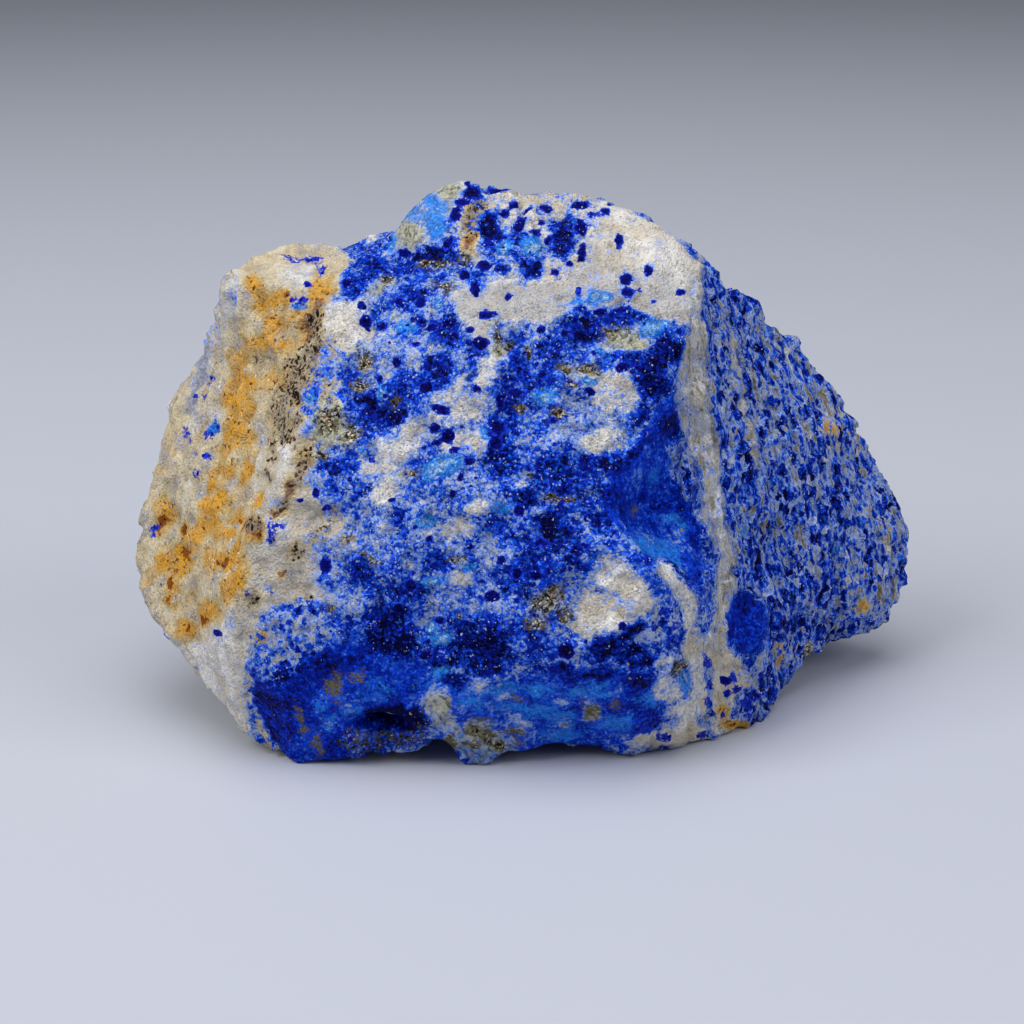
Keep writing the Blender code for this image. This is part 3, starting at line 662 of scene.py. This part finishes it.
def add(tree, kind, inputs=(), **settings):
    """Adds a node with its settings. inputs gives, by name, a value, another node's socket, or
    another node, which stands for its first output."""
    node = tree.nodes.new(kind)
    for name, value in settings.items():
        setattr(node, name, value)
    for name, value in dict(inputs).items():
        if isinstance(value, bpy.types.Node):
            value = value.outputs[0]
        if isinstance(value, bpy.types.NodeSocket):
            tree.links.new(value, node.inputs[name])
        else:
            node.inputs[name].default_value = value
    return node


def drawn_out(tree, place, lean, share_of_length):
    """A place to read a pattern at, so that it leans from upright and is drawn out that way."""
    leaning = add(
        tree, "ShaderNodeVectorRotate",
        {"Vector": place, "Axis": (0.0, 1.0, 0.0), "Angle": lean}, rotation_type="AXIS_ANGLE",
    )
    squeeze = (1.0, 1.0, share_of_length)
    return add(tree, "ShaderNodeVectorMath", {0: leaning, 1: squeeze}, operation="MULTIPLY")


relief = bpy.data.node_groups.new("broken_rock_surface", "GeometryNodeTree")
relief.interface.new_socket("Geometry", in_out="INPUT", socket_type="NodeSocketGeometry")
socket_of = {
    label: relief.interface.new_socket(label, in_out="INPUT", socket_type="NodeSocketFloat")
    for label in RELIEF_SIZES
}
relief.interface.new_socket("Geometry", in_out="OUTPUT", socket_type="NodeSocketGeometry")
given = add(relief, "NodeGroupInput").outputs
clean, layered = (
    add(relief, "GeometryNodeInputNamedAttribute", {"Name": name}, data_type="FLOAT")
    for name in ("clean", "layered")
)
per_mm = {
    label: add(relief, "ShaderNodeMath", {0: 1.0, 1: given[label]}, operation="DIVIDE")
    for label in ("Lump size", "Grain size", "Rib width", "Facet size", "Pit spacing")
}
place_mm = add(
    relief, "ShaderNodeVectorMath",
    {0: add(relief, "GeometryNodeInputPosition"), "Scale": 1.0 / MM}, operation="SCALE",
)


def swell(place, size, height, detail):
    """Soft noise around 0, with the size and height that two of the tree's inputs give."""
    made = add(
        relief, "ShaderNodeTexNoise", {"Vector": place, "Scale": per_mm[size], "Detail": detail}
    )
    middle = add(relief, "ShaderNodeMath", {0: made, 1: 0.5}, operation="SUBTRACT")
    return add(relief, "ShaderNodeMath", {0: middle, 1: given[height]}, operation="MULTIPLY")


lumps = swell(place_mm, "Lump size", "Lump height", 4.0)
grains = swell(place_mm, "Grain size", "Grain height", 2.0)
ribs = swell(drawn_out(relief, place_mm, LAYER_ANGLE, RIB_STRETCH), "Rib width", "Rib height", 3.0)

# Each larger grain breaks along its own plane: the point's place in its cell, times the slope.
facet = add(
    relief, "ShaderNodeTexVoronoi", {"Vector": place_mm, "Scale": per_mm["Facet size"]}
).outputs
facet_way, from_middle = (
    add(relief, "ShaderNodeVectorMath", {0: start, 1: taken}, operation="SUBTRACT")
    for start, taken in ((facet["Color"], (0.5, 0.5, 0.5)), (place_mm, facet["Position"]))
)
facet_rise = add(
    relief, "ShaderNodeVectorMath", {0: from_middle, 1: facet_way}, operation="DOT_PRODUCT"
).outputs["Value"]
facets = add(
    relief, "ShaderNodeMath", {0: facet_rise, 1: given["Facet slope"]}, operation="MULTIPLY"
)
pit_cells = add(
    relief, "ShaderNodeTexVoronoi", {"Vector": place_mm, "Scale": per_mm["Pit spacing"]}
)
pit = add(
    relief, "ShaderNodeMapRange",
    {"Value": pit_cells, "From Min": PIT_RIM, "From Max": PIT_FLOOR},
    interpolation_type="SMOOTHSTEP",
)
pits = add(relief, "ShaderNodeMath", {0: pit, 1: given["Pit depth"]}, operation="MULTIPLY")
calm = add(relief, "ShaderNodeMath", {0: clean, 1: CLEAN_LOSS}, operation="MULTIPLY")
height_mm = lumps
for operation, rough_part in (
    ("ADD", add(
        relief, "ShaderNodeMath",
        {0: add(relief, "ShaderNodeMath", {0: grains, 1: facets}, operation="ADD"), 1: pits},
        operation="SUBTRACT",
    )),
    ("MULTIPLY", add(relief, "ShaderNodeMath", {0: 1.0, 1: calm}, operation="SUBTRACT")),
    ("ADD", add(relief, "ShaderNodeMath", {0: ribs, 1: layered}, operation="MULTIPLY")),
):
    height_mm = add(relief, "ShaderNodeMath", {0: height_mm, 1: rough_part}, operation=operation)
height = add(relief, "ShaderNodeMath", {0: height_mm, 1: MM}, operation="MULTIPLY")
push = add(
    relief, "ShaderNodeVectorMath",
    {0: add(relief, "GeometryNodeInputNormal"), "Scale": height}, operation="SCALE",
)
noted = add(
    relief, "GeometryNodeStoreNamedAttribute",
    {"Geometry": given["Geometry"], "Name": "height", "Value": height_mm}, data_type="FLOAT",
)
moved = add(relief, "GeometryNodeSetPosition", {"Geometry": noted, "Offset": push})
whole = add(relief, "GeometryNodeRealizeInstances", {"Geometry": moved})
rock = bpy.data.materials.new("lapis_lazuli_rock")
coated = add(relief, "GeometryNodeSetMaterial", {"Geometry": whole, "Material": rock})
add(relief, "NodeGroupOutput", {"Geometry": coated})
carve = stone.modifiers.new("broken_rock_surface", "NODES")
carve.node_group = relief
for label, value in RELIEF_SIZES.items():
    carve[socket_of[label].identifier] = value
finished(stone)

# The skin keeps inside the solid's own box, and its feet stay flat.
carved = np.clip(at_points("co"), cad_low, cad_high)
stone.data.vertices.foreach_set("co", carved.ravel())
stone.data.update()
stone.data.shade_smooth()

# Lapis lazuli rock. Broken, never polished: white calcite with a sugary break, ultramarine
# lazurite that is hazy where it is thin and almost black where it is thick, brown-green
# diopside, iron stain and a few specks of brass-yellow pyrite.
GRAIN_MM, FINE_MM, GLINT_MM = 1.05, 0.42, 0.3  # grains; the last is drawn as fine as it can show
WANDER_MM, WANDER_SCALE = 0.6, 0.9  # how far grain boundaries wander, and how often per mm
DRAWN, STREAKY, FIBROUS = 0.7, 0.3, 0.1  # width over length: flank grains, streaks, threads
RUN_LEAN, RUN_SHAPE = math.radians(22), 0.3  # the same for stain, and its lean from upright
VECTOR_A, VECTOR_B, VECTOR_OUT = 4, 5, 1  # which of a Mix node's sockets are for vectors
COLOUR_A, COLOUR_B, COLOUR_OUT = 6, 7, 2  # and which are for colours


def linear(code):
    """An sRGB hex colour as the linear colour that Blender's sockets take."""
    parts = [int(code[i:i + 2], 16) / 255.0 for i in (1, 3, 5)]
    return (*(p / 12.92 if p <= 0.04045 else ((p + 0.055) / 1.055) ** 2.4 for p in parts), 1.0)


rock.use_nodes = True
tree = rock.node_tree
tree.nodes.clear()
local = add(tree, "ShaderNodeTexCoord").outputs["Object"]
mm = add(tree, "ShaderNodeVectorMath", {0: local, "Scale": 1.0 / MM}, operation="SCALE")
field = {
    name: add(tree, "ShaderNodeAttribute", attribute_name=name).outputs["Fac"]
    for name in (*SHARES, "height")
}

# Grain boundaries wander. On the flank the grains are drawn out upright, along the layers, as
# are streaks and threads, and the stain on the left face has run down it at a slant.
wander = add(
    tree, "ShaderNodeTexNoise", {"Vector": mm, "Scale": WANDER_SCALE, "Detail": 3.0}
).outputs["Color"]
bent = add(
    tree, "ShaderNodeVectorMath", {0: wander, 1: [WANDER_MM] * 3, 2: mm}, operation="MULTIPLY_ADD"
)
drawn, streaky, fibrous = (
    drawn_out(tree, bent, LAYER_ANGLE, shape) for shape in (DRAWN, STREAKY, FIBROUS)
)
running = drawn_out(tree, bent, -RUN_LEAN, RUN_SHAPE)
grain_place = add(
    tree, "ShaderNodeMix", {0: field["layered"], VECTOR_A: bent, VECTOR_B: drawn},
    data_type="VECTOR",
).outputs[VECTOR_OUT]
for name, place, size in (
    ("grain", grain_place, GRAIN_MM), ("fine", grain_place, FINE_MM), ("glint", bent, GLINT_MM),
):
    cells = add(tree, "ShaderNodeTexVoronoi", {"Vector": place, "Scale": 1.0 / size})
    chances = add(tree, "ShaderNodeSeparateColor", {0: cells.outputs["Color"]}).outputs
    field[name + " a"], field[name + " b"], field[name + " c"] = chances
    field[name + " rim"] = cells
facet_tilts = cells.outputs["Color"]
for name, place, size, detail in (
    ("broad", mm, 7.0, 2.0), ("clump", grain_place, 3.1, 3.0), ("fray", grain_place, 0.8, 3.0),
    ("streak", streaky, 2.0, 4.0), ("run", running, 2.6, 4.0), ("fibre", fibrous, 0.8, 2.0),
):
    field[name] = add(
        tree, "ShaderNodeTexNoise", {"Vector": place, "Scale": 1.0 / size, "Detail": detail}
    )


def total(terms):
    """The sum of the named fields, each times its weight. A plain number is added as it is."""
    sum_so_far = terms.get("plus", 0.0)
    for name, weight in terms.items():
        if name != "plus":
            sum_so_far = add(
                tree, "ShaderNodeMath", {0: field[name], 1: weight, 2: sum_so_far},
                operation="MULTIPLY_ADD",
            )
    return sum_so_far


def lay_over(under, over, start, full, terms, within=None):
    """Covers the colour under it with a mineral's where its terms' sum goes from start to full,
    and only inside another field where one is named."""
    amount = add(
        tree, "ShaderNodeMapRange", {"Value": total(terms), "From Min": start, "From Max": full},
        interpolation_type="SMOOTHSTEP",
    )
    if within:
        amount = add(tree, "ShaderNodeMath", {0: amount, 1: field[within]}, operation="MULTIPLY")
    return add(
        tree, "ShaderNodeMix", {0: amount, COLOUR_A: under, COLOUR_B: linear(over)},
        data_type="RGBA",
    ).outputs[COLOUR_OUT]


# How blue each point is: the lazurite there, broken up by clumps, grains and frayed edges. On
# a clean break it is even, in speckled rock whole grains are blue or not, and the layered flank
# has fine upright threads of blue and white.
for name, terms, part in (
    ("soft", {
        "clump": 1.15, "fray": 0.9, "streak": 0.3, "fine a": 0.34, "glint c": 0.2, "plus": -1.445,
    }, total({"clean": -0.4, "speckled": -0.45, "plus": 1.0})),
    ("crisp", {"grain a": 0.66, "grain rim": -0.5, "fine a": 0.1, "plus": -0.17},
     field["speckled"]),
    ("thread", {"fibre": 1.3, "plus": -0.65}, field["layered"]),
):
    field[name] = add(tree, "ShaderNodeMath", {0: total(terms), 1: part}, operation="MULTIPLY")
field["blue"] = total({"lazurite": 1.0, "soft": 1.0, "crisp": 1.0, "thread": 1.0})

# Where the rock is blue, and where it is stained, so that a coat can be kept to such places.
for name, source, start, full in (
    ("in blue", "blue", 0.40, 0.58), ("weathered", "stain", 0.08, 0.22),
):
    field[name] = add(
        tree, "ShaderNodeMapRange", {"Value": field[source], "From Min": start, "From Max": full}
    )
field["edge"] = total({"crystal": 1.0, "fray": 0.35, "fine c": 0.12, "plus": -0.235})

COATS = (
    # Calcite: grey where it is clear, warm in places, bluish near lazurite, with dark specks. On
    # the flank it is blue-grey, with pale and dark threads.
    ("#A9AFC0", 0.46, 0.68, {"clump": 0.6, "fray": 0.4}),
    ("#CFC6B8", 0.50, 0.66, {"broad": 1.0}),
    ("#93A3CC", 0.55, 0.95, {"lazurite": 1.0, "fray": 0.6}),
    ("#8C8884", 0.90, 1.06, {"fine b": 0.6, "glint c": 0.3, "fray": 0.4}),
    ("#7C8090", 0.20, 1.15, {"grey": 0.9, "clump": 0.3}),
    ("#A2A6AE", 0.25, 1.05, {"layered": 0.8, "streak": 0.3}),
    ("#DCDFE8", 0.52, 0.62, {"fibre": 1.0}, "layered"),
    ("#646052", 0.46, 0.38, {"fibre": 1.0}, "layered"),
    # Iron stain soaks in along the grain: cream, pale ochre, strong ochre, rust, then brown.
    ("#C9BA98", 0.32, 0.72, {"stain": 1.0, "fray": 0.4, "clump": 0.5}),
    ("#C4A66E", 0.72, 1.02, {"stain": 0.9, "run": 1.0, "fray": 0.2}),
    ("#C4954E", 1.40, 1.66, {"stain": 0.9, "run": 0.9, "fray": 1.1, "fine c": 0.14}),
    ("#D69C34", 1.76, 2.04, {"stain": 1.0, "run": 0.8, "fray": 1.3, "fine b": 0.24}),
    # Among the stain there are grey and cream grains that it passed by, and dark pits.
    ("#A6A09E", 0.70, 0.90, {
        "clump": 1.1, "run": 0.3, "fray": 0.4, "stain": -0.35, "plus": -0.1,
    }, "weathered"),
    ("#E6DCC8", 0.98, 1.24, {
        "run": -0.6, "clump": 0.8, "glint a": 0.4, "fray": 0.6, "plus": 0.2,
    }, "weathered"),
    ("#5F4128", 0.86, 0.96, {"fine a": 0.4, "fray": 0.75, "stain": 0.2}, "weathered"),
    # Rust gathers in spots, and manganese and dirt in black specks.
    ("#8A4C14", 1.12, 1.42, {"rust": 1.0, "fray": 1.2, "fine c": 0.2}),
    ("#2A1A10", 1.22, 1.36, {"rust": 0.7, "fine b": 0.5, "fray": 0.6}),
    ("#8E8272", 1.00, 1.60, {"pepper": 0.9, "clump": 0.8, "fray": 0.5, "fine c": 0.15}),
    ("#4A2F1A", 0.93, 1.03, {"pepper": 0.5, "fine b": 0.5, "fray": 0.45}),
    ("#1E1712", 0.95, 1.03, {"pepper": 0.45, "fine a": 0.55, "fray": 0.42}),
    ("#B5B5A0", 0.35, 0.75, {"diopside": 1.0, "clump": 0.3, "fray": 0.3}),
    # Lazurite: a grey-blue haze, powder blue, royal blue, deep blue, then almost black.
    ("#8CA4E0", 0.10, 0.42, {"blue": 1.0, "weathered": -0.3}),
    ("#4474DE", 0.42, 0.56, {"blue": 1.0}),
    ("#0844DA", 0.54, 0.68, {"blue": 1.0}),
    ("#031E9A", 0.68, 0.84, {"blue": 1.0}),
    ("#01023A", 0.88, 1.04, {"blue": 1.0}),
    # Crushed grains of it are pale, and lie in the rougher breaks.
    ("#A4B8EC", 0.76, 0.90, {
        "glint a": 0.5, "fine c": 0.35, "fray": 0.5, "blue": -0.3, "clean": -0.2,
    }, "in blue"),
    # Thin lazurite over white calcite is azure, and paler where it is thinnest.
    ("#2270EC", 0.80, 1.02, {"fine b": 0.6, "clump": 0.7, "blue": -0.1, "clean": -0.1}, "in blue"),
    ("#2A80E4", 0.98, 1.40, {
        "azure": 1.0, "clump": 0.5, "fray": 0.7, "fine c": 0.2, "blue": -0.15,
    }),
    ("#9CC2E8", 1.20, 1.56, {
        "azure": 1.0, "fray": 0.9, "clump": 0.2, "fine c": 0.12, "blue": -0.3,
    }),
    # Diopside: brown-green, with black and golden grains.
    ("#625E48", 0.90, 1.30, {"diopside": 0.9, "fray": 0.8, "fine a": 0.3, "clean": 0.15}),
    ("#86683C", 1.16, 1.40, {"diopside": 0.8, "fine b": 0.6, "fray": 0.4, "clean": -0.2}),
    ("#1C1810", 1.06, 1.22, {"diopside": 0.8, "glint c": 0.5, "fray": 0.5, "clean": -0.2}),
    ("#C6C0AE", 1.16, 1.30, {"diopside": 0.8, "glint a": 0.5, "fray": 0.45, "clean": -0.3}),
    # Single crystals: sharp-edged, deep blue, and darker where they are thicker. Small ones
    # are scattered by chance, more where there is more lazurite.
    ("#0A1A94", 0.00, 0.09, {
        "grain c": 1.0, "grain rim": -0.9, "lazurite": 0.55, "fray": 0.3, "stain": -0.6,
        "pepper": -0.6, "clean": -0.5, "layered": -0.6, "plus": -1.10,
    }),
    ("#1838CC", -0.04, 0.04, {"edge": 1.0}),
    ("#03086E", 0.12, 0.30, {"edge": 1.0, "fine b": 0.2}),
    ("#010130", 0.50, 0.80, {"edge": 1.0, "fine b": 0.25}),
)
colour = linear("#E2E1E0")
for coat in COATS:
    colour = lay_over(colour, *coat)

# Painted shade: each fine grain is made lighter or darker at random, as if its facets caught more
# or less light, with a painted shadow in the gap round it, most of all in the blue and least on a
# clean break. Lower places of the relief are painted darker as shade in its pits, over a random
# tone of clumps, frays and streaks.
painted_grain_shade = total({"glint b": 0.62, "glint rim": -0.75, "fine rim": -0.5, "plus": 0.22})
in_blue = add(
    tree, "ShaderNodeMapRange",
    {"Value": field["blue"], "From Min": 0.2, "From Max": 0.6, "To Min": 0.26, "To Max": 1.2},
)
even = total({"clean": -0.45, "plus": 1.0})
contrast = add(tree, "ShaderNodeMath", {0: in_blue, 1: even}, operation="MULTIPLY")
# Random tone, with painted shade in the relief's low places from its height.
tone_and_painted_pit_shade = total({"fray": 0.35, "clump": 0.3, "streak": 0.45, "height": 0.22, "plus": 0.44})
shade = add(
    tree, "ShaderNodeMath", {0: painted_grain_shade, 1: contrast, 2: tone_and_painted_pit_shade}, operation="MULTIPLY_ADD"
)
colour = add(tree, "ShaderNodeVectorMath", {0: colour, "Scale": shade}, operation="SCALE")

# Painted glints: pale blue-white points in the blue, where a grain's facet would catch the light.
# One grain in thousands is pyrite.
colour = lay_over(
    colour, "#9CB2F4", 1.14, 1.26,
    {"glint a": 0.8, "glint rim": -0.35, "fray": 0.7, "clump": 0.3, "clean": -0.14}, "in blue",
)
pyrite = add(
    tree, "ShaderNodeMapRange",
    {"Value": total({"fine c": 1.0, "lazurite": 0.001}), "From Min": 1.0, "From Max": 1.0003},
)
colour = add(
    tree, "ShaderNodeMix", {0: pyrite, COLOUR_A: colour, COLOUR_B: linear("#BFA060")},
    data_type="RGBA",
).outputs[COLOUR_OUT]

# A broken grain shows flat crystal faces, each tilted its own way, so it glitters.
grit = total({"glint rim": -0.4, "fray": 0.7, "fine rim": -0.8})
bump = add(tree, "ShaderNodeBump", {"Height": grit, "Strength": 0.6, "Distance": 0.4 * MM})
tilt = add(
    tree, "ShaderNodeVectorMath", {0: facet_tilts, 1: (0.5, 0.5, 0.5)}, operation="SUBTRACT"
)
tilt = add(
    tree, "ShaderNodeVectorMath", {0: tilt, "Scale": total({"clean": -0.75, "plus": 0.95})},
    operation="SCALE",
)
grain_face = add(tree, "ShaderNodeVectorMath", {0: bump, 1: tilt}, operation="ADD")
normal = add(tree, "ShaderNodeVectorMath", {0: grain_face}, operation="NORMALIZE")
surface = add(
    tree, "ShaderNodeBsdfPrincipled",
    {"Base Color": colour, "Metallic": pyrite, "Normal": normal, "Specular IOR Level": 0.04,
     "Roughness": total({"glint c": 0.35, "stain": 0.25, "plus": 0.28})},
)
add(tree, "ShaderNodeOutputMaterial", {"Surface": surface})

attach(stone, "root")
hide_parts("lapis_lump")

# The studio. A plain pale floor of uncoated paper, which is matt and mirrors nothing, and three
# large soft lights: one above, one at the left and a weaker one at the right.
FLOOR_HALF, FLOOR_DROP = 4.0, 0.02 * MM
PAPER, PAPER_ROUGHNESS = "#B8BCC8", 0.8
AIR, AIR_STRENGTH = "#C8CCD6", 0.2
LIT_POINT = Vector((0.0, 0.0, 0.035))  # the middle of the lump
SENSOR_WIDTH, NEAREST_SEEN = 36.0, 0.01  # millimetres, metres
LIGHTS = (
    # name, place, size, watts
    ("overhead_softbox", (-0.05, -0.08, 1.05), 0.90, 7.5),
    ("left_softbox", (-0.70, -0.42, 0.75), 0.60, 7.0),
    ("right_softbox", (0.75, -0.40, 0.65), 0.60, 3.4),
)
floor_mesh = bpy.data.meshes.new("studio_floor")
corners = [
    (x * FLOOR_HALF, y * FLOOR_HALF, -FLOOR_DROP) for x, y in ((-1, -1), (1, -1), (1, 1), (-1, 1))
]
floor_mesh.from_pydata(corners, [], [(0, 1, 2, 3)])
floor = bpy.data.objects.new("studio_floor", floor_mesh)
bpy.context.scene.collection.objects.link(floor)
paper = bpy.data.materials.new("matt_white_paper")
paper.use_nodes = True
paper.node_tree.nodes["Principled BSDF"].inputs["Base Color"].default_value = linear(PAPER)
paper.node_tree.nodes["Principled BSDF"].inputs["Roughness"].default_value = PAPER_ROUGHNESS
floor_mesh.materials.append(paper)
floor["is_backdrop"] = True

for name, place, size, watts in LIGHTS:
    light = bpy.data.lights.new(name, "AREA")
    light.size = size
    light.energy = watts
    lamp = bpy.data.objects.new(name, light)
    lamp.location = place
    aim = LIT_POINT - lamp.location
    lamp.rotation_euler = aim.to_track_quat("-Z", "Y").to_euler()
    bpy.context.scene.collection.objects.link(lamp)
world = bpy.data.worlds.new("studio_air")
bpy.context.scene.world = world
world.use_nodes = True
world.node_tree.nodes["Background"].inputs["Color"].default_value = linear(AIR)
world.node_tree.nodes["Background"].inputs["Strength"].default_value = AIR_STRENGTH
bpy.context.scene.view_settings.view_transform = "Standard"

view = bpy.data.cameras.new("photograph_view")
view.sensor_width = SENSOR_WIDTH
view.lens = FOCUS * SENSOR_WIDTH / FRAME
view.clip_start = NEAREST_SEEN
camera = bpy.data.objects.new("photograph_view", view)
camera.matrix_world = Matrix.Translation(CAMERA_PLACE) @ Matrix.Rotation(
    math.pi / 2 - CAMERA_PITCH, 4, "X"
)
bpy.context.scene.collection.objects.link(camera)
bpy.context.scene.camera = camera
